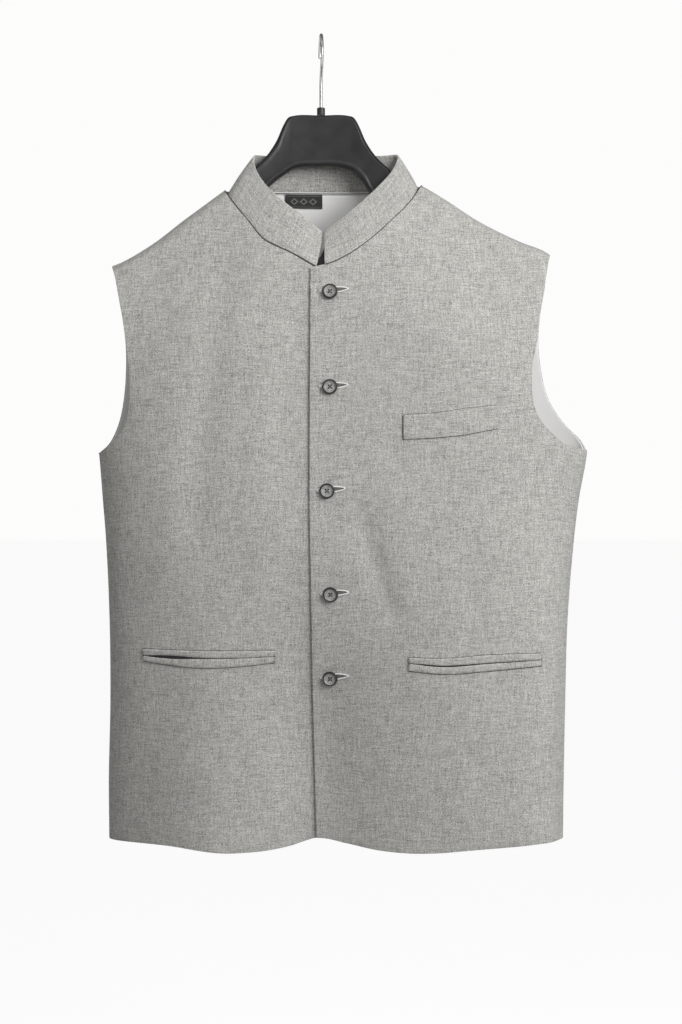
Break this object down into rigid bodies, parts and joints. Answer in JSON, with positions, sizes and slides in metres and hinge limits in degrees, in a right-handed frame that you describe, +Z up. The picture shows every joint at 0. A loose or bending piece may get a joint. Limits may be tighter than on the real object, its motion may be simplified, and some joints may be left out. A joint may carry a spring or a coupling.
{
  "type": "nehru jacket on a coat hanger",
  "caption": "Sleeveless stand-collar jacket, buttoned up, hanging open-bodied on a moulded hanger with a wire hook.",
  "frame": {"origin": "top of the hook's inside, where a rail touches it", "axes": "+Z up, the front faces -Y, the wearer's left is +X"},
  "size_m": [0.5079, 0.1342, 0.8518],
  "materials": {
    "melange_cloth": "matt plain weave, grey melange with slubs",
    "satin_lining": "soft satin",
    "label_weave": "fine woven tape",
    "button_plastic": "half gloss, dished",
    "hanger_plastic": "fine satin moulding",
    "ferrule_plastic": "satin",
    "hook_steel": "drawn wire"
  },
  "bodies": {
    "root": {"front_left": "melange_cloth", "front_right": "melange_cloth", "back": "melange_cloth", "collar": "melange_cloth", "breast_welt": "melange_cloth", "waist_jet_upper_right": "melange_cloth", "waist_jet_lower_right": "melange_cloth", "waist_jet_upper_left": "melange_cloth", "waist_jet_lower_left": "melange_cloth", "back_lining": "satin_lining", "neck_label": "label_weave", "button_1": "button_plastic", "button_2": "button_plastic", "button_3": "button_plastic", "button_4": "button_plastic", "button_5": "button_plastic", "hanger_body": "hanger_plastic", "hanger_ferrule": "ferrule_plastic", "hanger_hook": "hook_steel"}
  },
  "joints": []
}
